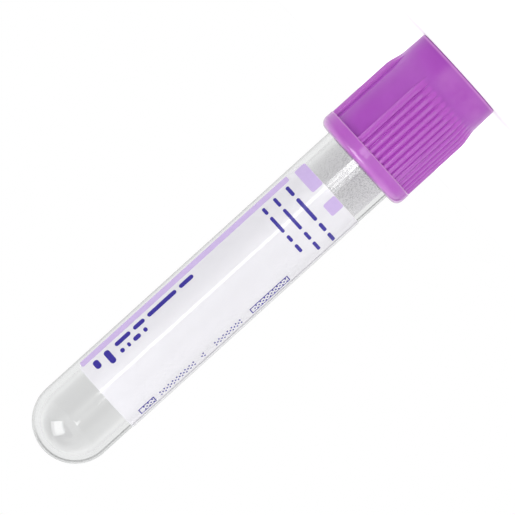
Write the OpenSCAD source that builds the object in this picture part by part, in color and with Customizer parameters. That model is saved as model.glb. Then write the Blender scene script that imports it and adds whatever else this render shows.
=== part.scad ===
// Evacuated blood collection tube, 13 x 75 mm, standing on its closure, which is
// the one way that a round-bottomed tube stands unheld.
// A clear round-bottomed tube carries a printed wrap label. A rubber stopper
// seals its bore, and a ribbed safety shield pulls off with the stopper.
// Each piece is drawn upright, with the tube's round bottom at z = 0 and the front
// at angle 0, and is then turned over. Angles run anticlockwise, seen from above.

/* [Tube] */
// Outside diameter of the tube
tube_od = 13; // [11:0.5:17]
// Length from the round bottom to the rim
tube_length = 75; // [65:1:110]
// Wall of the tube at the rim
tube_wall = 1.05; // [0.8:0.05:1.4]
// Wall at the middle of the round bottom
bottom_wall = 1.2; // [0.8:0.1:2]
// How much the bore's radius narrows from its straight stretch to the bottom
bore_draft = 0.15; // [0.05:0.05:0.3]
// Straight bore past the end of the plug
land_margin = 4; // [1:0.5:8]
// Bevel on the rim's inner and outer edges
rim_bevel = 0.2; // [0.1:0.05:0.3]

/* [Label] */
// Clear end of the tube below the label
label_start = 12.3; // [10:0.1:20]
// Clear tube between the label and the shield
label_end_gap = 5.75; // [2:0.25:12]
// Thickness of the film
label_thick = 0.1; // [0.06:0.01:0.16]
// Adhesive between the film and the tube
adhesive = 0.02; // [0.01:0.01:0.05]
// Angle of the window that the label leaves clear
window_angle = 60; // [30:2:110]
// Angle from the front to the label's left edge
label_left = 63.4; // [40:0.2:90]
// Radius of the label's corners
label_corner = 1.7; // [0.6:0.1:3]

/* [Stopper] */
// Height of the flange over the neck
flange_height = 4.3; // [3.4:0.1:6]
// Height of the neck between the rim and the flange
neck_height = 1.9; // [1.6:0.1:3]
// Step from the outside of the tube in to the neck
neck_inset = 0.3; // [0.2:0.05:0.6]
// Length of the plug in the bore
plug_length = 8; // [6:0.5:12]
// Radial clearance between the plug and the bore
seal_clearance = 0.03; // [0.02:0.01:0.08]
// Bevel that leads the plug into the bore
plug_bevel = 0.6; // [0.3:0.1:1]
// Diameter of the hollow in the plug's end
hollow_d = 6.4; // [4:0.2:7.6]
// Depth of the hollow in the plug's end
hollow_depth = 5; // [2:0.5:6]
// Diameter of the needle well at its mouth
well_mouth_d = 7.6; // [6.4:0.2:8]
// Diameter of the needle well at its floor
well_floor_d = 6; // [4:0.2:6.2]
// Depth of the needle well
well_depth = 4; // [2:0.5:5]

/* [Shield] */
// Reach of the skirt below the tube's rim
skirt_overlap = 11.2; // [10:0.2:15]
// Radial clearance between the skirt and the tube
skirt_clearance = 0.35; // [0.25:0.05:0.5]
// Wall of the shield at its smooth faces
shield_wall = 1.05; // [0.9:0.05:1.5]
// Bevel inside the skirt's mouth
skirt_bevel = 0.4; // [0.2:0.05:0.6]
// Height of the collar round the skirt's mouth
collar_height = 2.6; // [2:0.1:4]
// How far the collar stands out from the smooth faces
collar_proud = 0.65; // [0.6:0.05:1]
// Radius of the collar's lower edge
collar_round = 1.3; // [0.8:0.1:1.5]
// Height of the smooth band round the top
band_height = 3.6; // [2.5:0.1:5]
// How much the band's radius narrows to the top
band_draft = 0.1; // [0.05:0.05:0.3]
// Radius of the top's outer edge
top_round = 0.35; // [0.2:0.05:0.6]
// Depth from the top face to the stopper's flange
top_depth = 3.2; // [2.6:0.1:5]
// Wall of the top over the relief groove
top_wall = 1.2; // [0.9:0.1:1.6]
// Diameter of the opening in the top
opening_d = 8.6; // [8.2:0.1:9.4]
// Wall of the lip round the opening
lip_wall = 0.9; // [0.7:0.05:1.1]
// Radial clearance between the flange and the shield
flange_clearance = 0.1; // [0.05:0.05:0.2]
// Radial clearance between the snap ring and the neck
ring_clearance = 0.2; // [0.1:0.05:0.3]
// Gap between the tube's rim and the snap ring
ring_lift = 0.6; // [0.5:0.05:0.8]
// Gap between the snap ring and the flange
ring_gap = 0.3; // [0.1:0.05:0.4]

/* [Grips] */
// Height of the ribs over the smooth faces
rib_height = 0.55; // [0.3:0.05:0.6]
// Width of a rib at its foot
rib_width = 0.84; // [0.6:0.02:0.84]
// Radius of a rib's crest
rib_crest = 0.28; // [0.15:0.01:0.28]
// Angle from one rib to the next
rib_pitch = 7.5; // [7:0.25:9]
// Narrow ribs on each grip
rib_count = 15; // [8:1:15]
// Angle of the wide land at each end of a grip
land_angle = 9; // [4:0.5:9]
// Angle from the front to the middle of the front grip
grip_turn = 44; // [-90:1:90]
// Length over which the ribs run out
rib_runout = 2.4; // [1.5:0.1:4]
// Smooth face between the ribs' tips and the band
tip_gap = 0.2; // [0.1:0.05:1]

/* [Hidden] */
$fn = 96;
cut = 1; // how far a cutter runs past the face that it cuts
sunk = 0.4; // how far a foot is let into the solid that carries it

tube_r = tube_od / 2;
bore_r = tube_r - tube_wall;
bottom_bore_r = bore_r - bore_draft;
land_z = tube_length - plug_length - land_margin;

shield_z = tube_length - skirt_overlap;
collar_z = shield_z + collar_height;
flange_z = tube_length + neck_height;
flange_top_z = flange_z + flange_height;
shield_top_z = flange_top_z + top_depth;
band_z = shield_top_z - band_height;

skirt_r = tube_r + skirt_clearance;
body_r = skirt_r + shield_wall;
collar_r = body_r + collar_proud;
grip_r = body_r + rib_height;
top_r = body_r - band_draft;
neck_r = tube_r - neck_inset;
flange_r = skirt_r - flange_clearance;
plug_r = bore_r - seal_clearance;
ring_r = neck_r + ring_clearance;
opening_r = opening_d / 2;

label_in_r = tube_r + adhesive;
label_z = shield_z - label_end_gap;
label_angle = 360 - window_angle;
corner_inset = 0.96 * label_corner; // its arc then crosses the label's edges and doesn't graze them
corner_angle = corner_inset / label_in_r * 180 / PI;

function arc(at, r, from, to, steps = 10) =
    [for (i = [0 : steps]) let (a = from + (to - from) * i / steps) at + r * [cos(a), sin(a)]];

// Turns a piece over onto the closure's top face, with the front towards -Y
module stood() {
    translate([0, 0, shield_top_z])
        rotate([180, 0, 0])
        rotate([0, 0, 90])
        children();
}

module tube_outside() {
    translate([0, 0, tube_r]) sphere(r = tube_r);
    translate([0, 0, tube_r]) cylinder(r = tube_r, h = tube_length - rim_bevel - tube_r);
    translate([0, 0, tube_length - rim_bevel])
        cylinder(r1 = tube_r, r2 = tube_r - rim_bevel, h = rim_bevel);
}

// A round end, a drafted stretch, and the straight land that the plug seals in
module tube_bore() {
    round_z = bottom_wall + bottom_bore_r;
    translate([0, 0, round_z]) sphere(r = bottom_bore_r);
    translate([0, 0, round_z]) cylinder(r1 = bottom_bore_r, r2 = bore_r, h = land_z - round_z);
    translate([0, 0, land_z]) cylinder(r = bore_r, h = tube_length + cut - land_z);
    translate([0, 0, tube_length - rim_bevel])
        cylinder(r1 = bore_r, r2 = bore_r + rim_bevel + cut, h = rim_bevel + cut);
}

module tube() {
    color("white", 0.35) stood() difference() {
        tube_outside();
        tube_bore();
    }
}

// Cuts one square corner of the label to a radius, at an edge and an end
module corner_cutter(edge, inward, end_z, upward) {
    rotate([0, 0, edge + inward * corner_angle])
        translate([0, 0, end_z + upward * corner_inset])
        rotate([90, 0, 90])
        linear_extrude(height = tube_od)
        difference() {
            translate([-(inward + 1) / 2 * (label_corner + cut), -(upward + 1) / 2 * (label_corner + cut)])
                square(label_corner + cut);
            circle(r = label_corner);
        }
}

module label() {
    right = label_angle - label_left;
    color("whitesmoke") stood() difference() {
        rotate([0, 0, -label_left])
            rotate_extrude(angle = label_angle)
            translate([label_in_r, label_start])
            square([label_thick, label_z - label_start]);
        corner_cutter(-label_left, 1, label_start, 1);
        corner_cutter(-label_left, 1, label_z, -1);
        corner_cutter(right, -1, label_start, 1);
        corner_cutter(right, -1, label_z, -1);
    }
}

module stopper() {
    plug_z = tube_length - plug_length;
    color("#a79bb5") stood() rotate_extrude() polygon([
        [0, plug_z + hollow_depth],
        [hollow_d / 2, plug_z + hollow_depth],
        [hollow_d / 2, plug_z],
        [plug_r - plug_bevel, plug_z],
        [plug_r, plug_z + plug_bevel],
        [plug_r, tube_length],
        [neck_r, tube_length],
        [neck_r, flange_z],
        [flange_r, flange_z],
        [flange_r, flange_top_z],
        [well_mouth_d / 2, flange_top_z],
        [well_floor_d / 2, flange_top_z - well_depth],
        [0, flange_top_z - well_depth]
    ]);
}

// The outside without its ribs: a collar, smooth faces and a drafted band
module shield_body() {
    rotate_extrude() polygon(concat(
        [[0, shield_z]],
        arc([collar_r - collar_round, shield_z + collar_round], collar_round, -90, 0),
        [[collar_r, collar_z], [body_r, collar_z], [body_r, band_z]],
        arc([top_r - top_round, shield_top_z - top_round], top_round, 0, 90),
        [[0, shield_top_z]]
    ));
}

// One rib's section, standing on the smooth face with a round crest
module rib_section() {
    polygon([
        [body_r - sunk, -rib_width / 2],
        [body_r, -rib_width / 2],
        [grip_r - rib_crest, -rib_crest],
        [grip_r - rib_crest, rib_crest],
        [body_r, rib_width / 2],
        [body_r - sunk, rib_width / 2]
    ]);
    translate([grip_r - rib_crest, 0]) circle(r = rib_crest);
}

// A wide land's section, from its middle out to both sides
module land_section() {
    reach = grip_r / cos(land_angle / 2) + cut;
    intersection() {
        difference() {
            circle(r = grip_r);
            circle(r = body_r - sunk);
        }
        polygon([
            [0, 0],
            reach * [cos(land_angle / 2), -sin(land_angle / 2)],
            reach * [cos(land_angle / 2), sin(land_angle / 2)]
        ]);
    }
}

// Ribs spread either way from the grip's middle, with a land past the last one
module grip_section() {
    half_span = (rib_count - 1) / 2 * rib_pitch;
    rib_angle = rib_width / body_r * 180 / PI;
    land_turn = half_span + rib_pitch - rib_angle / 2 + land_angle / 2;
    for (i = [0 : rib_count - 1]) rotate(i * rib_pitch - half_span) rib_section();
    for (side = [-1, 1]) rotate(side * land_turn) land_section();
}

// The ribs run out on a cone that sinks into the smooth face under the band
module grips() {
    tip_z = band_z - tip_gap;
    fall = rib_runout / rib_height;
    intersection() {
        translate([0, 0, collar_z - sunk])
            linear_extrude(height = tip_z + sunk * fall - collar_z + sunk)
            for (side = [0, 180]) rotate(grip_turn + side) grip_section();
        rotate_extrude() polygon([
            [0, collar_z - cut],
            [grip_r + cut, collar_z - cut],
            [grip_r + cut, tip_z - (rib_height + cut) * fall],
            [body_r - sunk, tip_z + sunk * fall],
            [0, tip_z + sunk * fall]
        ]);
    }
}

// From the mouth up: the skirt over the tube, a snap ring round the stopper's
// neck, the flange's pocket with a relief groove, and the lip of the opening
module shield_inside() {
    ring_z = tube_length + ring_lift;
    ring_top_z = flange_z - ring_gap;
    relief_z = shield_top_z - top_wall;
    rotate_extrude() polygon([
        [0, shield_z - cut],
        [skirt_r + skirt_bevel + cut, shield_z - cut],
        [skirt_r, shield_z + skirt_bevel],
        [skirt_r, ring_z - (skirt_r - ring_r)],
        [ring_r, ring_z],
        [ring_r, ring_top_z],
        [skirt_r, ring_top_z],
        [skirt_r, relief_z],
        [opening_r + lip_wall, relief_z],
        [opening_r + lip_wall, flange_top_z],
        [opening_r, flange_top_z],
        [opening_r, shield_top_z + cut],
        [0, shield_top_z + cut]
    ]);
}

module shield() {
    color("mediumorchid") stood() difference() {
        union() {
            shield_body();
            grips();
        }
        shield_inside();
    }
}

tube();
label();
stopper();
shield();
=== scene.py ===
# Looks of a clear sample tube that stands on its ribbed lavender closure.
# Meshes are drawn in millimetres, as the real piece is measured, and go to metres when they are placed.
# Height is measured up from the bench, so the closure is at the bottom and the round end on top.
from math import atan2, ceil, cos, degrees, floor, pi, radians, sin, sqrt

import bmesh
import bpy
from mathutils import Matrix, Vector


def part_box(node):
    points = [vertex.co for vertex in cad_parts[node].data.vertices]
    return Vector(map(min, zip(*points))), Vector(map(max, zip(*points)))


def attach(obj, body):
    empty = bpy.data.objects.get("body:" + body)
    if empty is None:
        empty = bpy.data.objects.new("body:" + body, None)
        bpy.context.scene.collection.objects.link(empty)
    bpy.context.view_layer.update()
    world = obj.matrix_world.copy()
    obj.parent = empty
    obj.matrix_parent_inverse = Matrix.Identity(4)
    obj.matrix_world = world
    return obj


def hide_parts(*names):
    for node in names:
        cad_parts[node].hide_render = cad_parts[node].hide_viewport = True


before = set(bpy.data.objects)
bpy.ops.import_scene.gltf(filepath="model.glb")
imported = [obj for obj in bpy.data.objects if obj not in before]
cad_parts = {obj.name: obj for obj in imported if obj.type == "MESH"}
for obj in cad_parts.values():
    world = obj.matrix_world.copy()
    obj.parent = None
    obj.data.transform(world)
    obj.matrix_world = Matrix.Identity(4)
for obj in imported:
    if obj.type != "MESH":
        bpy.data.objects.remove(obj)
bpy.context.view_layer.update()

mm = 0.001
mergeGap = 0.001  # mm: an outline's points that are closer than this become one
seamGap = 0.0005  # the same, where turned sectors meet
cutGap = 0.0001  # and where a flat shape is cut into slices
slack = 0.01  # mm by which a point may miss a wall and still count as on it
fewestSteps = 3  # segments of the smallest rounding
stepsPerMm = 4  # and how many more a wider one has
softEdge = 50  # degrees up to which turned pieces are shaded as one surface


def boxOf(node):
    low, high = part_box(node)
    return low / mm, high / mm


tubeLow, tubeHigh = boxOf("tube")
labelLow, labelHigh = boxOf("label")
stopperLow, stopperHigh = boxOf("stopper")
shieldHigh = boxOf("shield")[1]
tubeR = tubeHigh.x
tipHeight = tubeHigh.z
rimHeight = tubeLow.z
print("frame loaded, tube", round(tubeR * 2, 2), "mm across, tip at", round(tipHeight, 2), "mm")


class Wire:  # an output socket that takes Python's own operators
    def __init__(self, nodes, socket):
        self.nodes = nodes
        self.socket = socket

    def __add__(self, other):
        return self.nodes.math("ADD", self, other)

    def __sub__(self, other):
        return self.nodes.math("SUBTRACT", self, other)

    def __rsub__(self, other):
        return self.nodes.math("SUBTRACT", other, self)

    def __mul__(self, other):
        return self.nodes.math("MULTIPLY", self, other)

    __radd__ = __add__
    __rmul__ = __mul__


class Nodes:  # the node tree of a material or world, filled one node at a time
    def __init__(self, owner):
        owner.use_nodes = True
        self.owner = owner
        self.tree = owner.node_tree
        self.tree.nodes.clear()

    def add(self, kind, settings=None, values=None, output=0):
        node = self.tree.nodes.new(kind)
        for name, setting in (settings or {}).items():
            if name == "stops":
                self.setStops(node.color_ramp, setting)
            else:
                setattr(node, name, setting)
        for name, value in (values or {}).items():
            if isinstance(value, Wire):
                self.tree.links.new(value.socket, node.inputs[name])
            else:
                node.inputs[name].default_value = value
        return Wire(self, node.outputs[output])

    def setStops(self, ramp, stops):
        while len(ramp.elements) < len(stops):
            ramp.elements.new(1)
        for element, (position, level) in zip(ramp.elements, stops):
            element.position = position
            element.color = (level, level, level, 1)

    def math(self, operation, *values):
        return self.add("ShaderNodeMath", {"operation": operation}, dict(enumerate(values)))

    def mixColor(self, factor, first, second):
        return self.add("ShaderNodeMix", {"data_type": "RGBA"}, {0: factor, 6: first, 7: second}, 2)

    def noise(self, size, detail=2.0, stretch=(1, 1, 1)):
        # size is the patches' width in mm, drawn out along an axis by stretch
        spot = self.add("ShaderNodeTexCoord", output=3)
        scale = [1 / (size * mm * pull) for pull in stretch]
        spot = self.add("ShaderNodeMapping", None, {"Vector": spot, "Scale": scale})
        return self.add("ShaderNodeTexNoise", None, {"Vector": spot, "Scale": 1.0, "Detail": detail})

    def place(self, axis):
        # how far along an axis of the object, in mm
        spot = self.add("ShaderNodeTexCoord", output=3)
        return self.add("ShaderNodeSeparateXYZ", None, {"Vector": spot}, "XYZ".index(axis)) * (1 / mm)

    def radius(self):
        # distance from the tube's middle line, in mm
        spot = self.add("ShaderNodeTexCoord", output=3)
        flat = self.add("ShaderNodeVectorMath", {"operation": "MULTIPLY"}, {0: spot, 1: (1 / mm, 1 / mm, 0)})
        return self.add("ShaderNodeVectorMath", {"operation": "LENGTH"}, {0: flat}, 1)

    def fade(self, value, start, end):
        # 0 at start and 1 at end, soft between them and steady past them, and start may be the greater
        return self.add("ShaderNodeMapRange", {"interpolation_type": "SMOOTHSTEP"}, {
            "Value": value, "From Min": start, "From Max": end})

    def near(self, value, middle, reach):
        # 1 at the middle, and 0 from reach on either side of it
        return 1 - self.fade(self.math("ABSOLUTE", value - middle), 0, reach)

    def ramp(self, value, *stops):
        return self.add("ShaderNodeValToRGB", {"stops": stops}, {0: value})

    def bump(self, height, depth, strength=1.0):
        return self.add("ShaderNodeBump", None, {
            "Height": height, "Distance": depth * mm, "Strength": strength})

    def lightPath(self, output):
        return self.add("ShaderNodeLightPath", None, None, output)

    def mirrored(self):
        # 1 where gloss or clear plastic shows the surroundings
        both = self.lightPath("Is Glossy Ray") + self.lightPath("Is Transmission Ray")
        return self.add("ShaderNodeClamp", None, {"Value": both})

    def finish(self, shader, body=None):
        inWorld = isinstance(self.owner, bpy.types.World)
        output = self.tree.nodes.new("ShaderNodeOutputWorld" if inWorld else "ShaderNodeOutputMaterial")
        self.tree.links.new(shader.socket, output.inputs["Surface"])
        if body:
            self.tree.links.new(body.socket, output.inputs["Volume"])
        return self.owner


def newFinish(name):
    return Nodes(bpy.data.materials.new(name))


def linked(name, bm, materials, sharpAngle=35):
    # the mesh goes to metres, and its edges past the angle stay crisp
    bmesh.ops.scale(bm, vec=(mm, mm, mm), verts=bm.verts)
    for face in bm.faces:
        face.smooth = True
    for edge in bm.edges:
        if len(edge.link_faces) == 2 and edge.calc_face_angle(0) > radians(sharpAngle):
            edge.smooth = False
    mesh = bpy.data.meshes.new(name)
    bm.to_mesh(mesh)
    bm.free()
    for material in materials:
        mesh.materials.append(material)
    piece = bpy.data.objects.new(name, mesh)
    bpy.context.scene.collection.objects.link(piece)
    print(name, len(mesh.polygons), "faces")
    return piece


def heldEdges(bm, reach, longFrom=5):
    # A vertex close to each end of a long edge keeps the shading of flat walls flat.
    # An edge is long from that many times the reach.
    for edge in [e for e in bm.edges if e.calc_length() > longFrom * reach]:
        first, second = edge.verts
        edge, middle = bmesh.utils.edge_split(edge, first, reach / edge.calc_length())
        rest = next(e for e in middle.link_edges if second in e.verts)
        bmesh.utils.edge_split(rest, second, reach / rest.calc_length())


def turned(outline, sectors, steps, rows=(), reach=0.12):
    # spins an outline of (radius, height, rounding) points. It is closed, or starts and ends on the axis.
    # One sector is spun in steps and then repeated all round, which is much quicker than one long spin.
    # rows gives (lower height, upper height, radius, cuts) for walls that need more rings, and reach is how
    # far from its corners a long wall gets a holding ring.
    bm = bmesh.new()
    corners = [bm.verts.new((radius, 0, height)) for radius, height, rounding in outline]
    for first, second in zip(corners, corners[1:]):
        bm.edges.new((first, second))
    if outline[0][0] > 0:
        bm.edges.new((corners[-1], corners[0]))
    for size in sorted({rounding for radius, height, rounding in outline if rounding}):
        bmesh.ops.bevel(
            bm, geom=[v for v, point in zip(corners, outline) if point[2] == size], offset=size,
            segments=round(fewestSteps + stepsPerMm * size), profile=0.5, affect="VERTICES", material=-1)
    bmesh.ops.remove_doubles(bm, verts=bm.verts, dist=mergeGap)
    for lower, upper, radius, cuts in rows:
        walls = [
            e for e in bm.edges
            if all(abs(v.co.x - radius) < slack and lower - slack < v.co.z < upper + slack for v in e.verts)]
        bmesh.ops.subdivide_edges(bm, edges=walls, cuts=cuts)
    heldEdges(bm, reach)
    spin = {"cent": (0, 0, 0), "axis": (0, 0, 1), "dvec": (0, 0, 0)}
    sector = 2 * pi / sectors
    bmesh.ops.spin(bm, geom=bm.verts[:] + bm.edges[:], angle=sector, steps=steps, **spin)
    bmesh.ops.spin(
        bm, geom=bm.verts[:] + bm.edges[:] + bm.faces[:], angle=2 * pi - sector, steps=sectors - 1,
        use_duplicate=True, **spin)
    bmesh.ops.remove_doubles(bm, verts=bm.verts, dist=seamGap)
    bmesh.ops.recalc_face_normals(bm, faces=bm.faces)
    return bm


def azimuthOf(point):
    # degrees from the front, -Y, growing towards -X
    return degrees(atan2(-point.x, -point.y))


def around(azimuth, radius, height):
    turn = radians(azimuth)
    return Vector((-sin(turn) * radius, -cos(turn) * radius, height))


def eased(share):
    # 0 up to 1, with a soft start and end
    share = max(0, min(1, share))
    return share * share * (3 - 2 * share)


shieldSizes = {
    "sectors": 48,  # one for each rib's pitch
    "steps": 18,
    "skirtR": 6.85,  # bore round the tube and the stopper's flange
    "wall": 1.05,
    "collarHeight": 2.6,
    "collarRound": 1.25,
    "bandHeight": 3.6,
    "topR": 7.8,
    "topRound": 0.25,
    "openingR": 4.3,
    "openingRound": 0.25,
    "lipWall": 0.9,
    "reliefDepth": 1.2,
    "ringR": 6.4,
    "ringLow": 7.8,
    "ringHigh": 8.8,
    "mouthBevel": 0.4,
    "edge": 0.1,  # softening of the moulded edges
    "collarEdge": 0.16,  # the same, at the collar's corner over the ribs
    "innerEdge": 0.05,  # and down inside the skirt
    "gripTurn": 44,  # degrees from the front to the middle of the front grip
    "ribCount": 15,
    "ribPitch": 7.5,
    "ribWidth": 0.96,
    "ribHeight": 0.55,
    "ribRound": 0.9,  # 0.5 is a half ellipse, and more than that a narrower crest
    "grooveLift": 0.16,  # the grooves' floor over the smooth face
    "landAngle": 9,
    "landGap": 0.1,  # from the last rib's foot to the land
    "landShoulder": 0.2,
    "landDish": 0.18,  # how far the land dips between its edges
    "tipGap": 0.2,  # from the band to the ribs' ends
    "runout": 3.6,  # over which they rise to their full height
    "runoutRings": 16,
    "ribRings": 3,
}
bodyR = shieldSizes["skirtR"] + shieldSizes["wall"]


def ribSection(offset):
    # how far a rib stands out, at a distance from its middle
    size = shieldSizes
    share = min(1, abs(offset) / (size["ribWidth"] / 2))
    groove = size["grooveLift"]
    return groove + (size["ribHeight"] - groove) * (1 - share ** 2) ** size["ribRound"]


def landSection(inside):
    # how far a wide land stands out, at a distance in from its nearer edge
    size = shieldSizes
    if inside <= 0:
        return 0
    middle = radians(size["landAngle"]) * bodyR / 2
    dish = size["landDish"] * max(0, (inside - size["landShoulder"]) / (middle - size["landShoulder"]))
    return size["ribHeight"] * sqrt(1 - (1 - min(inside / size["landShoulder"], 1)) ** 2) - dish


def gripLift(azimuth, height):
    size = shieldSizes
    arc = radians(1) * bodyR  # mm to a degree on the smooth face
    turn = (azimuth - size["gripTurn"] + 90) % 180 - 90  # from the middle of the nearer of the two grips
    last = (size["ribCount"] - 1) / 2
    landStart = (last + 0.5) * size["ribPitch"] + size["landGap"] / arc
    if abs(turn) > landStart:
        fromRibs = (abs(turn) - landStart) * arc
        fromEnd = size["landAngle"] * arc - fromRibs
        lift = landSection(min(fromRibs, fromEnd))
        if fromRibs < fromEnd:
            lift = max(lift, size["grooveLift"])
    else:
        rib = max(-last, min(last, round(turn / size["ribPitch"])))
        lift = ribSection((turn - rib * size["ribPitch"]) * arc)
    return lift * eased((height - size["bandHeight"] - size["tipGap"]) / size["runout"])


def makeShield(finish):
    size = shieldSizes
    edge = size["edge"]
    inner = size["innerEdge"]
    mouth = shieldHigh.z
    collar = mouth - size["collarHeight"]
    band = size["bandHeight"]
    tips = band + size["tipGap"]
    fullRibs = tips + size["runout"]
    lipR = size["openingR"] + size["lipWall"]
    outline = [
        (size["openingR"], 0, size["openingRound"]),
        (size["topR"], 0, size["topRound"]),
        (bodyR, band, 0),
        (bodyR, tips, 0),
        (bodyR, fullRibs, 0),
        (bodyR, collar, 0),
        (shieldHigh.x, collar, size["collarEdge"]),
        (shieldHigh.x, mouth, size["collarRound"]),
        (size["skirtR"] + size["mouthBevel"], mouth, 0),
        (size["skirtR"], mouth - size["mouthBevel"], inner),
        (size["skirtR"], size["ringHigh"] + size["skirtR"] - size["ringR"], inner),
        (size["ringR"], size["ringHigh"], edge),
        (size["ringR"], size["ringLow"], edge),
        (size["skirtR"], size["ringLow"], inner),
        (size["skirtR"], size["reliefDepth"], edge),
        (lipR, size["reliefDepth"], edge),
        (lipR, stopperLow.z, edge),
        (size["openingR"], stopperLow.z, edge),
    ]
    rows = [(tips, fullRibs, bodyR, size["runoutRings"]), (fullRibs, collar, bodyR, size["ribRings"])]
    bm = turned(outline, size["sectors"], size["steps"], rows)
    for vert in bm.verts:
        height = vert.co.z
        radius = vert.co.xy.length
        if abs(radius - bodyR) < slack and tips < height < collar + slack:
            stretch = (radius + gripLift(azimuthOf(vert.co), height)) / radius
            vert.co.x *= stretch
            vert.co.y *= stretch
    shield = linked("shield_shell", bm, [finish], softEdge)
    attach(shield, "closure")
    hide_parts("shield")


def shieldFinish():
    look = {
        "deep": (0.356, 0.054, 0.446, 1),
        "pale": (0.392, 0.072, 0.486, 1),
        "hollow": (0.445, 0.072, 0.518, 1),  # the richer tone down between the ribs
        # the pale tone of rubbed rib crests, also painted on the band by the top face as sheen
        "rubbedAndSheen": (0.440, 0.118, 0.512, 1),
        # the pale tone of worn edges, also painted on as highlights along the collar's round edge, its corner
        # and the rim
        "wornAndGlint": (0.580, 0.250, 0.615, 1),
        "clouds": 9.0,  # mm across the soft differences in the plastic's colour
        "cloudStops": ((0.35, 0), (0.65, 1)),
        "patches": 2.2,  # mm across the places that are worn more
        "patchStops": ((0.3, 0.5), (0.6, 1)),
        "hollowReach": (0.04, 0.16),  # mm over the smooth face, where the richer tone comes in
        "crestReach": (0.34, 0.56),  # and where the ribs' crests are rubbed pale
        "crestWear": 0.85,
        "mouthReach": (1.15, 0.25),  # mm below the mouth, where the collar's round edge is worn and carries a painted highlight
        "mouthWearAndGlint": 0.45,
        "cornerReach": (0.4, 0.6),  # mm over the smooth face, where the collar's sharp corner gets a pale painted highlight line, with some wear
        "cornerWide": (0.06, 0.2),  # mm from the collar's underside to the middle of that line, and its reach
        "rimWide": (0.28, 0.3),  # the same for the rim, from the top face
        "edgeWearAndGlint": 0.95,
        "edgePatches": 0.4,  # how much of the edges' pale lines comes in patches
        "bandSoft": 1.5,  # mm over which the band by the top face changes into the wall
        "bandSide": (-2.6, -1),  # mm towards the right past which the band is paler, as a painted sheen
        "bandSheen": 0.9,
        "flow": 1.4,  # mm across the duller streaks, which are drawn out along the tube
        "flowStretch": (1, 1, 5),
        "grain": 0.22,
        "grainDepth": 0.005,
        "roughness": 0.25,
        "flowRoughness": 0.1,
        "coat": 0.35,  # polish of the wall, which the band lacks
        "collarCoat": 0.65,  # and what the collar has beyond that
        "coatReach": (1.4, 0.9),  # mm below the mouth, where it comes in
    }
    nodes = newFinish("lavender_plastic")
    height = nodes.place("Z")
    radius = nodes.radius()
    below = shieldHigh.z - height  # mm down from the mouth
    proud = radius - bodyR
    clouds = nodes.ramp(nodes.noise(look["clouds"], 3), *look["cloudStops"])
    flow = nodes.noise(look["flow"], 2, look["flowStretch"])
    patchy = nodes.ramp(nodes.noise(look["patches"], 3), *look["patchStops"])
    crests = nodes.fade(proud, *look["crestReach"]) * look["crestWear"] * patchy
    # painted highlight with some wear: the collar's round edge by the mouth is paler, for the light it
    # catches
    mouthWearGlintMask = nodes.fade(below, *look["mouthReach"]) * look["mouthWearAndGlint"] * patchy
    overCollar = shieldSizes["collarHeight"] - below  # mm from the collar's underside towards the mouth
    # painted highlight lines with some wear, along the collar's corner over the ribs and along the rim by the
    # top face
    corner = nodes.near(overCollar, *look["cornerWide"]) * nodes.fade(proud, *look["cornerReach"])
    rim = nodes.near(height, *look["rimWide"])
    broken = patchy * look["edgePatches"] + (1 - look["edgePatches"])
    edges = nodes.math("MAXIMUM", corner, rim) * look["edgeWearAndGlint"] * broken
    bandHeight = shieldSizes["bandHeight"]
    band = 1 - nodes.fade(height, bandHeight - look["bandSoft"], bandHeight + look["bandSoft"])
    # painted sheen: the band by the top face is paler towards the right and middle, for the light it catches
    # there
    bandSheen = band * nodes.fade(nodes.place("X") * -1, *look["bandSide"]) * look["bandSheen"]
    color = nodes.mixColor(clouds, look["deep"], look["pale"])
    color = nodes.mixColor(nodes.fade(proud, *look["hollowReach"]), color, look["hollow"])
    color = nodes.mixColor(nodes.math("MAXIMUM", crests, bandSheen * patchy), color, look["rubbedAndSheen"])
    color = nodes.mixColor(nodes.math("MAXIMUM", mouthWearGlintMask, edges), color, look["wornAndGlint"])
    polish = nodes.fade(below, *look["coatReach"]) * look["collarCoat"]
    return nodes.finish(nodes.add("ShaderNodeBsdfPrincipled", None, {
        "Base Color": color,
        "Roughness": flow * look["flowRoughness"] + look["roughness"],
        "IOR": 1.49,
        "Specular IOR Level": 0.3,
        "Coat Weight": polish + (1 - band) * look["coat"],
        "Coat Roughness": 0.05,
        "Coat IOR": 1.65,
        "Normal": nodes.bump(nodes.noise(look["grain"], 2), look["grainDepth"], 0.5),
    }))


stopperSizes = {
    "sectors": 24,
    "steps": 8,
    "plugR": 5.42,
    "plugBevel": 0.6,
    "neckR": 6.2,
    "neckHeight": 1.9,
    "hollowR": 3.2,
    "hollowDepth": 5.0,
    "wellMouthR": 3.8,
    "wellFloorR": 3.0,
    "wellDepth": 4.0,
    "floorRound": 0.3,  # round the floors of the well and the hollow
    "neckEdge": 0.02,
    "edge": 0.15,
}


def makeStopper(finish):
    size = stopperSizes
    edge = size["edge"]
    floorRound = size["floorRound"]
    top = stopperLow.z  # the flange's face in the shield's opening
    flange = rimHeight - size["neckHeight"]
    end = stopperHigh.z
    outline = [
        (0, top + size["wellDepth"], 0),
        (size["wellFloorR"], top + size["wellDepth"], floorRound),
        (size["wellMouthR"], top, edge),
        (stopperHigh.x, top, edge),
        (stopperHigh.x, flange, edge),
        (size["neckR"], flange, edge),
        (size["neckR"], rimHeight, size["neckEdge"]),
        (size["plugR"], rimHeight, size["neckEdge"]),
        (size["plugR"], end - size["plugBevel"], edge),
        (size["plugR"] - size["plugBevel"], end, edge),
        (size["hollowR"], end, edge),
        (size["hollowR"], end - size["hollowDepth"], floorRound),
        (0, end - size["hollowDepth"], 0),
    ]
    bm = turned(outline, size["sectors"], size["steps"])
    stopper = linked("stopper_rubber", bm, [finish], softEdge)
    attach(stopper, "closure")
    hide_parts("stopper")


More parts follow.
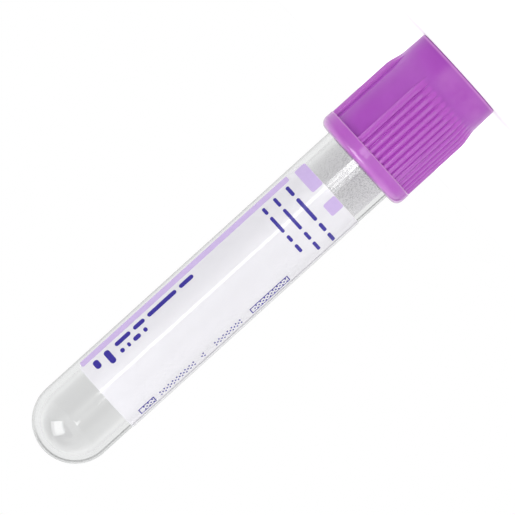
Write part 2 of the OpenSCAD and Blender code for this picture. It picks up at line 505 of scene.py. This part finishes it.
def stopperFinish():
    look = {
        "plain": (0.345, 0.300, 0.400, 1),
        "bloomed": (0.410, 0.365, 0.465, 1),
        "bloom": 2.4,  # mm across the paler places
        "bloomStops": ((0.3, 0), (0.7, 1)),
        "roughness": 0.6,
        "bloomRoughness": 0.12,
        "grain": 0.18,
        "grainDepth": 0.012,
    }
    nodes = newFinish("grey_rubber")
    bloom = nodes.ramp(nodes.noise(look["bloom"], 4), *look["bloomStops"])
    return nodes.finish(nodes.add("ShaderNodeBsdfPrincipled", None, {
        "Base Color": nodes.mixColor(bloom, look["plain"], look["bloomed"]),
        "Roughness": bloom * look["bloomRoughness"] + look["roughness"],
        "IOR": 1.5,
        "Normal": nodes.bump(nodes.noise(look["grain"], 3), look["grainDepth"], 0.6),
    }))


tubeSizes = {
    "sectors": 32,
    "steps": 8,
    "boreR": 5.45,
    "endBoreR": 5.3,
    "endWall": 1.2,
    "landLength": 12.0,  # straight bore from the rim, in which the plug seals
    "rimEdge": 0.2,
    "ringReach": 0.6,  # from the ends of the long walls to their holding rings
}


def makeTube(finish):
    size = tubeSizes
    rim = size["rimEdge"]
    boreTip = tipHeight - size["endWall"]
    outline = [
        (0, tipHeight, 0),
        (tubeR, tipHeight, tubeR),
        (tubeR, rimHeight, rim),
        (size["boreR"], rimHeight, rim),
        (size["boreR"], rimHeight + size["landLength"], 0),
        (size["endBoreR"], boreTip, size["endBoreR"]),
        (0, boreTip, 0),
    ]
    bm = turned(outline, size["sectors"], size["steps"], reach=size["ringReach"])
    tube = linked("tube_wall", bm, [finish], softEdge)
    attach(tube, "tube_body")
    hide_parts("tube")


def clearFinish():
    # clear plastic that lets the lamps' light through to what is inside
    look = {
        "shade": (0.93, 0.935, 0.94, 1),  # what its shadow lets through
        "body": (0.55, 0.60, 0.60, 1),  # the tone that thick plastic takes
        "density": 60,  # to a metre
    }
    nodes = newFinish("clear_plastic")
    inShadow = nodes.lightPath("Is Shadow Ray")
    glass = nodes.add("ShaderNodeBsdfPrincipled", None, {
        "Base Color": (1, 1, 1, 1),
        "Roughness": 0.02,
        "IOR": 1.57,
        "Transmission Weight": 1.0,
    })
    shade = nodes.add("ShaderNodeBsdfTransparent", None, {"Color": look["shade"]})
    surface = nodes.add("ShaderNodeMixShader", None, {0: inShadow, 1: glass, 2: shade})
    body = nodes.add("ShaderNodeVolumeAbsorption", None, {"Color": look["body"], "Density": look["density"]})
    return nodes.finish(surface, body)


filmSizes = {
    "gap": 0.01,  # between the bore and the film, in mm
    "thick": 0.015,
    "low": 18.2,  # just past the stopper's plug
    "high": 46.0,
}


def makeFilm(finish):
    # the additive that is sprayed and dried on the bore, beyond the stopper, whose finish also paints shade
    size = filmSizes
    inside = tubeSizes["boreR"] - size["gap"]
    start = rimHeight + tubeSizes["landLength"]  # from here the bore narrows, up to its round end
    roundEnd = tipHeight - tubeSizes["endWall"] - tubeSizes["endBoreR"]
    slope = (tubeSizes["boreR"] - tubeSizes["endBoreR"]) / (roundEnd - start)
    far = inside - slope * (size["high"] - start)
    outline = [
        (inside, size["low"], 0),
        (inside, start, 0),
        (far, size["high"], 0),
        (far - size["thick"], size["high"], 0),
        (inside - size["thick"], start, 0),
        (inside - size["thick"], size["low"], 0),
    ]
    bm = turned(outline, tubeSizes["sectors"], tubeSizes["steps"], reach=tubeSizes["ringReach"])
    film = linked("additive_and_shade_film", bm, [finish], softEdge)
    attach(film, "tube_body")


def additiveAndShadeFinish():
    # a real sprayed additive, made thicker towards the back right and towards the closure as painted shade,
    # with a lavender tint that is a painted reflection of the closure
    look = {
        "color": (0.52, 0.42, 0.58, 1),
        "towards": (-0.5, 0.85),  # X and Y of the side that is painted darker
        "side": (-2.0, 5.0),  # mm towards it over which the film thickens
        "foot": (36.0, 21.0),  # heights between which it thickens towards the closure
        "thick": 0.13,
        "drift": 3.5,  # mm across its thicker and thinner places
        "driftStretch": (1, 1, 2),
        "driftLow": 0.5,  # what is left in the thinnest places, and below it what the thickest add
        "driftMore": 0.6,
        "drops": 0.2,  # mm from droplet to droplet
        "dropLevels": (0.5, 0.62),
        "speckle": 0.2,  # how much the droplets show
    }
    nodes = newFinish("additive_and_shade")
    towards = nodes.place("X") * look["towards"][0] + nodes.place("Y") * look["towards"][1]
    side = nodes.fade(towards, *look["side"])
    foot = nodes.fade(nodes.place("Z"), *look["foot"])
    drift = nodes.noise(look["drift"], 1, look["driftStretch"]) * look["driftMore"] + look["driftLow"]
    drops = nodes.fade(nodes.noise(look["drops"], 1), *look["dropLevels"])
    # painted shade: more film where the clear tube is to look darker
    share = side * foot * (drift * look["thick"] + drops * look["speckle"])
    return nodes.finish(nodes.add("ShaderNodeBsdfPrincipled", None, {
        "Base Color": look["color"],
        "Roughness": 0.8,
        "Alpha": share,
    }))


labelSizes = {
    "thick": 0.1,
    "window": 60,  # degrees left clear, past the left edge
    "left": -63.4,  # degrees from the front to the left edge
    "corner": 1.7,
    "slice": 3,  # degrees between the bends of a wrapped shape
    "proud": 0.02,  # the print's height over the film
}
labelR = labelHigh.y
perDegree = radians(1) * labelR  # mm along the film to a degree


def patch(bm, left, right, low, high, corner=0.0):
    # a flat rectangle, from degrees and heights, with its corners rounded where a radius is given
    places = [(left, low), (right, low), (right, high), (left, high)]
    corners = [bm.verts.new((azimuth * perDegree, height, 0)) for azimuth, height in places]
    face = bm.faces.new(corners)
    if corner:
        bmesh.ops.bevel(
            bm, geom=corners, offset=corner, segments=max(fewestSteps, round(stepsPerMm * corner)),
            profile=0.5, affect="VERTICES", material=-1)
    return face


def wrapped(name, bm, innerR, outerR, finish):
    # flat patches are sliced, given their thickness and bent round the tube
    step = labelSizes["slice"] * perDegree
    reach = [v.co.x for v in bm.verts]
    for line in range(ceil(min(reach) / step), floor(max(reach) / step) + 1):
        bmesh.ops.bisect_plane(
            bm, geom=bm.verts[:] + bm.edges[:] + bm.faces[:], dist=cutGap,
            plane_co=(line * step, 0, 0), plane_no=(1, 0, 0))
    raised = bmesh.ops.extrude_face_region(bm, geom=bm.faces[:], use_keep_orig=True)
    for vert in raised["geom"]:
        if isinstance(vert, bmesh.types.BMVert):
            vert.co.z = 1  # marks the outer face until it is bent
    for vert in bm.verts:
        radius = outerR if vert.co.z > 0.5 else innerR
        vert.co = around(vert.co.x / perDegree, radius, vert.co.y)
    bmesh.ops.recalc_face_normals(bm, faces=bm.faces)
    piece = linked(name, bm, [finish])
    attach(piece, "tube_body")
    return piece


def makeLabel(finish):
    size = labelSizes
    bm = bmesh.new()
    patch(bm, size["left"], size["left"] + 360 - size["window"], labelLow.z, labelHigh.z, size["corner"])
    label = wrapped("label_film", bm, labelR - size["thick"], labelR, finish)
    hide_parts("label")


def filmFinish():
    # laminated white film, which lets a little light through
    look = {
        "white": (0.940, 0.930, 0.970, 1),
        "shaded": (0.908, 0.898, 0.942, 1),
        "fibre": 6,  # mm across the places where the film is whiter
        "waves": 3.5,  # mm from wave to wave in its varnish
        "waveDepth": 0.01,
        "waveStrength": 0.08,
        "roughness": 0.05,
        "waveRoughness": 0.04,
        "through": 0.16,
        "backThrough": 0.75,  # the same for the film's back, which has no varnish
        "backReach": (0.03, 0.07),  # mm under the outer face, past which it counts as the back
        "throughColor": (0.90, 0.89, 0.93, 1),
    }
    nodes = newFinish("white_film")
    fibre = nodes.noise(look["fibre"], 3)
    waves = nodes.noise(look["waves"], 1)
    face = nodes.add("ShaderNodeBsdfPrincipled", None, {
        "Base Color": nodes.mixColor(fibre, look["shaded"], look["white"]),
        "Roughness": waves * look["waveRoughness"] + look["roughness"],
        "IOR": 1.5,
        "Coat Weight": 1.0,
        "Coat IOR": 1.8,
        "Coat Roughness": 0.03,
        "Normal": nodes.bump(waves, look["waveDepth"], look["waveStrength"]),
    })
    through = nodes.add("ShaderNodeBsdfTranslucent", None, {"Color": look["throughColor"]})
    back = nodes.fade(labelR - nodes.radius(), *look["backReach"])
    share = back * (look["backThrough"] - look["through"]) + look["through"]
    return nodes.finish(nodes.add("ShaderNodeMixShader", None, {0: share, 1: face, 2: through}))


inkLook = {
    "lavender_ink": {"light": (0.60, 0.47, 0.77, 1), "dark": (0.55, 0.42, 0.73, 1)},
    "violet_ink": {"light": (0.05, 0.035, 0.34, 1), "dark": (0.032, 0.022, 0.27, 1)},
    "drift": 0.5,  # mm across the lighter and darker places
    "roughness": 0.2,
    "driftRoughness": 0.1,
}


def inkFinish(name):
    # ink lies a little unevenly, so its colour drifts between two tones
    tones = inkLook[name]
    nodes = newFinish(name)
    drift = nodes.noise(inkLook["drift"], 3)
    return nodes.finish(nodes.add("ShaderNodeBsdfPrincipled", None, {
        "Base Color": nodes.mixColor(drift, tones["dark"], tones["light"]),
        "Roughness": drift * inkLook["driftRoughness"] + inkLook["roughness"],
        "IOR": 1.5,
    }))


printSizes = {
    "stripe": {"left": -63.4, "right": -50.6, "low": 29.8, "high": 71.6},
    "leftTab": {"left": -57, "right": -12, "low": 26.4, "high": 28.5},
    "rightTab": {"left": 9, "right": 29, "low": 26.4, "high": 28.7},
    "corner": 0.3,  # of the stripe and the tabs
    "lineStart": -44.9,  # degrees at which the header lines start
    "lines": [  # far end in degrees, height of the middle, and thickness, for each header line
        {"end": 64.6, "height": 30.85, "thick": 0.6},
        {"end": 56.8, "height": 33.4, "thick": 0.55},
        {"end": 37.4, "height": 35.65, "thick": 0.55},
    ],
    "wordGap": 0.7,
    "words": [0.2, 0.42, 0.16, 0.22],  # shares of a line
    # below, the two ends of a thing are given as mm down from the tube's tip
    "uprights": [  # lines of print along the tube
        {"left": -44, "right": -37, "span": (34.3, 18.6)},
        {"left": -30.5, "right": -24, "span": (23.9, 18.6)},
    ],
    "bars": [  # plain bars near the round end
        {"left": -44.9, "right": -21.6, "span": (17.4, 16.4)},
        {"left": -44.9, "right": -30, "span": (15.2, 14.2)},
    ],
    "barRound": 0.45,  # of the bar's shorter side
    "frames": {"left": 52, "right": 64.6, "thick": 0.16, "spans": [(17.7, 14.6), (44.7, 37.1)]},
    "dots": {
        "left": 54,
        "right": 62.6,
        "half": 0.15,  # mm from a dot's middle to its side
        "tall": 1.6,  # its height, as a share of that
        "pitch": 0.42,
        "columns": (0.1, 0.5, 0.9),  # shares of the width
        "spans": [(17.4, 14.9), (25.7, 18.5), (27.7, 26.5), (35.1, 29.5), (44.3, 37.5)],
    },
}


def fromTip(span):
    return [tipHeight - drop for drop in span]


def inkBar(bm, left, right, low, high):
    share = printSizes["barRound"]
    patch(bm, left, right, low, high, min(share * (high - low), share * (right - left) * perDegree))


def wordBars(bm, left, right, low, high, upright=False):
    # a line of print as plain bars with gaps, across the tube or, upright, along it
    size = printSizes
    start, end = (low, high) if upright else (left * perDegree, right * perDegree)
    length = end - start - size["wordGap"] * (len(size["words"]) - 1)
    for share in size["words"]:
        stop = start + share * length
        if upright:
            inkBar(bm, left, right, start, stop)
        else:
            inkBar(bm, start / perDegree, stop / perDegree, low, high)
        start = stop + size["wordGap"]


def openFrame(bm, left, right, low, high, thick):
    # the outline of a box, with nothing printed inside it
    field = patch(bm, left, right, low, high)
    field.normal_update()
    bmesh.ops.inset_region(bm, faces=[field], thickness=thick, use_boundary=True, use_even_offset=True)
    bmesh.ops.delete(bm, geom=[field], context="FACES_ONLY")


def dotRow(bm, low, high):
    # rows of small dashes, as a dot printer leaves them
    size = printSizes["dots"]
    across = [size["left"] + (size["right"] - size["left"]) * share for share in size["columns"]]
    half = size["half"] / perDegree
    for number in range(int((high - low) / size["pitch"])):
        height = low + number * size["pitch"]
        for column, azimuth in enumerate(across):
            if (number + column) % 2 == 0:
                patch(bm, azimuth - half, azimuth + half, height, height + size["half"] * size["tall"])


def makePrint(lavender, violet):
    size = printSizes
    inner = labelR - labelSizes["thick"] / 2
    outer = labelR + labelSizes["proud"]
    fields = bmesh.new()
    for name in ("stripe", "leftTab", "rightTab"):
        field = size[name]
        patch(fields, field["left"], field["right"], field["low"], field["high"], size["corner"])
    pale = wrapped("print_lavender", fields, inner, outer, lavender)
    bars = bmesh.new()
    for line in size["lines"]:
        half = line["thick"] / 2
        wordBars(bars, size["lineStart"], line["end"], line["height"] - half, line["height"] + half)
    for line in size["uprights"]:
        wordBars(bars, line["left"], line["right"], *fromTip(line["span"]), upright=True)
    for bar in size["bars"]:
        inkBar(bars, bar["left"], bar["right"], *fromTip(bar["span"]))
    box = size["frames"]
    for span in box["spans"]:
        openFrame(bars, box["left"], box["right"], *fromTip(span), box["thick"])
    for span in size["dots"]["spans"]:
        dotRow(bars, *fromTip(span))
    dark = wrapped("print_violet", bars, inner, outer, violet)


stageValues = {
    "floorSize": 1.6,
    "floorCells": 8,
    "floorColor": (0.9, 0.9, 0.9, 1),
    "floorGap": 0.02,  # mm below the object, so that the two don't share a plane
    "floorLift": 0.45,  # added where the floor is seen, so that it is white but for the shadow
    "floorMirror": 0.06,  # the same, where gloss and clear plastic show it
    "liftReach": (-40, 120),  # mm from the object over which the lift comes up
    "ambient": 0.62,
    "panels": 5,  # tall white panels round the room, which gloss and clear plastic show
    "panelLight": 0.92,
    "gapLight": 0.70,  # and the duller wall between them
    "gapReach": (-0.1, 1),  # from a panel's edge to the middle of a gap, as a cosine
    "gapHeight": (0.15, 0.65),  # where the gaps fade above and below, as the sine of that angle
    # dark arcs on the low side of the view, in degrees from straight behind
    "card": {"near": 32, "far": 44, "level": 0.0},  # only in gloss
    "edge": {"near": 19, "far": 29, "level": 0.35},  # only through the side of the tube's wall
    "arcSoft": 3,  # degrees over which an arc's edges fade
    "lowSide": {"across": -0.74, "up": 0.67, "reach": (0.05, 0.3)},
    "wallDepth": (2.2, 2.8),  # light that has passed more faces than this has been through more than one wall
    # a tall dark card on the left, only in gloss
    "flag": {"azimuth": -68, "core": 14, "reach": 44, "level": 0.18},
    # lamps are placed in degrees round and above the object's middle, and are measured in metres
    "lamps": {
        "line": {
            "azimuth": -11.3, "elevation": 0.95, "distance": 0.6, "wide": 0.075, "tall": 0.062, "level": 2.8},
        "haze": {
            "azimuth": -9.5, "elevation": 4.8, "distance": 0.6, "wide": 0.13, "tall": 0.017, "level": 0.22},
        "gleam": {
            "azimuth": -14, "elevation": -2.85, "distance": 0.6, "wide": 0.115, "tall": 0.017, "level": 5.0},
        "trail": {
            "azimuth": -2.2, "elevation": -2.85, "distance": 0.6, "wide": 0.12, "tall": 0.017, "level": 4.4},
        "soft": {
            "azimuth": -23.5, "elevation": 52, "distance": 0.6, "wide": 0.33, "tall": 0.36, "level": 3.4,
            "roll": 45},
        "left": {
            "azimuth": -75, "elevation": 35, "distance": 0.7, "wide": 0.5, "tall": 0.5, "level": 0.5},
        "right": {
            "azimuth": 72, "elevation": 38, "distance": 0.7, "wide": 0.65, "tall": 0.6, "level": 1.3},
        "rear": {
            "azimuth": 176, "elevation": 35, "distance": 0.8, "wide": 0.6, "tall": 0.55, "level": 2.0},
    },
    "plain": ("left", "right", "rear"),  # lamps that gloss and clear plastic don't show
}


def makeFloor():
    values = stageValues
    cells = values["floorCells"]
    bm = bmesh.new()
    bmesh.ops.create_grid(bm, x_segments=cells, y_segments=cells, size=values["floorSize"] / mm / 2)
    bmesh.ops.translate(bm, vec=(0, 0, -values["floorGap"]), verts=bm.verts)
    nodes = newFinish("pale_floor")
    board = nodes.add("ShaderNodeBsdfDiffuse", None, {"Color": values["floorColor"]})
    lift = nodes.lightPath("Is Camera Ray") * values["floorLift"] + nodes.mirrored() * values["floorMirror"]
    lift = lift * nodes.fade(nodes.radius(), *values["liftReach"])
    glow = nodes.add("ShaderNodeEmission", None, {"Strength": lift})
    finish = nodes.finish(nodes.add("ShaderNodeAddShader", None, {0: board, 1: glow}))
    linked("floor", bm, [finish])


def makeWorld():
    values = stageValues
    world = bpy.data.worlds.new("studio")
    bpy.context.scene.world = world
    nodes = Nodes(world)
    towards = nodes.add("ShaderNodeTexCoord")
    x, y, z = [nodes.add("ShaderNodeSeparateXYZ", None, {"Vector": towards}, axis) for axis in (0, 1, 2)]
    turn = nodes.math("ARCTAN2", x * -1, y)  # from straight behind, growing towards -X
    gap = nodes.fade(nodes.math("COSINE", turn * values["panels"]), *values["gapReach"])
    gap = gap * (1 - nodes.fade(nodes.math("ABSOLUTE", z), *values["gapHeight"]))
    room = values["panelLight"] - gap * (values["panelLight"] - values["gapLight"])
    side = values["lowSide"]
    low = nodes.fade(x * side["across"] + z * side["up"], *side["reach"])
    flag = values["flag"]
    frontTurn = nodes.math("ARCTAN2", x * -1, y * -1)  # from straight in front, growing towards -X
    aside = nodes.math("ABSOLUTE", frontTurn - radians(flag["azimuth"]))
    tall = 1 - nodes.fade(aside, radians(flag["core"]), radians(flag["reach"]))
    through = nodes.lightPath("Is Transmission Ray")
    gloss = nodes.lightPath("Is Glossy Ray") * (1 - through)
    wallOnly = through * (1 - nodes.fade(nodes.lightPath("Transmission Depth"), *values["wallDepth"]))
    soft = values["arcSoft"]
    for name, seen in (("card", gloss), ("edge", wallOnly)):
        card = values[name]
        inner = nodes.fade(y, cos(radians(card["near"] + soft)), cos(radians(card["near"])))
        outer = nodes.fade(y, cos(radians(card["far"])), cos(radians(card["far"] - soft)))
        room = room - low * outer * (1 - inner) * seen * (room - card["level"])
    room = room - tall * gloss * (room - flag["level"])
    ambient = values["ambient"]
    shown = nodes.lightPath("Is Camera Ray") * (1 - ambient)
    strength = shown + nodes.mirrored() * (room - ambient) + ambient
    nodes.finish(nodes.add("ShaderNodeBackground", None, {"Color": (1, 1, 1, 1), "Strength": strength}))


def makeLamp(name):
    values = stageValues["lamps"][name]
    light = bpy.data.lights.new(name + "_lamp", "AREA")
    light.shape = "RECTANGLE"
    light.size = values["wide"]
    light.size_y = values["tall"]
    light.energy = values["level"] * values["wide"] * values["tall"] * pi
    lamp = bpy.data.objects.new(name + "_lamp", light)
    bpy.context.scene.collection.objects.link(lamp)
    turn = radians(values["elevation"])
    away = around(values["azimuth"], cos(turn), sin(turn))
    aim = Vector((0, 0, tipHeight * mm / 2))
    lamp.location = aim + away * values["distance"]
    roll = Matrix.Rotation(radians(values.get("roll", 0)), 4, "Z")
    lamp.rotation_euler = ((-away).to_track_quat("-Z", "Y").to_matrix().to_4x4() @ roll).to_euler()
    lamp.visible_camera = False
    if name in stageValues["plain"]:
        lamp.visible_glossy = False
        lamp.visible_transmission = False


cameraValues = {
    "distance": 1.8,
    "acrossView": 77.4,  # mm of the object's plane across the view
    "lean": 42.15,  # degrees from level to the closure, which points up and to the right
    "aimShift": 0.235,  # mm from the tube's middle towards the label's right edge
    "aimDrop": 1.06,  # mm from the middle of the whole length towards the closure
    "clip": (0.1, 10),
}


def makeCamera():
    values = cameraValues
    data = bpy.data.cameras.new("camera")
    data.lens = data.sensor_width * values["distance"] / (values["acrossView"] * mm)
    data.clip_start, data.clip_end = values["clip"]
    camera = bpy.data.objects.new("camera", data)
    bpy.context.scene.collection.objects.link(camera)
    lean = radians(values["lean"])
    right = Vector((-sin(lean), 0, -cos(lean)))
    up = Vector((cos(lean), 0, -sin(lean)))
    back = right.cross(up)
    turn = Matrix((right, up, back)).transposed().to_4x4()
    aim = Vector((-values["aimShift"], 0, tipHeight / 2 - values["aimDrop"])) * mm
    camera.matrix_world = Matrix.Translation(aim + back * values["distance"]) @ turn
    bpy.context.scene.camera = camera


makeCamera()
makeFloor()
makeWorld()
for lampName in stageValues["lamps"]:
    makeLamp(lampName)
bpy.context.scene.view_settings.view_transform = "Standard"
print("camera, floor and lamps set")

makeShield(shieldFinish())
makeStopper(stopperFinish())
makeTube(clearFinish())
makeFilm(additiveAndShadeFinish())
makeLabel(filmFinish())
makePrint(inkFinish("lavender_ink"), inkFinish("violet_ink"))
print("all pieces made")
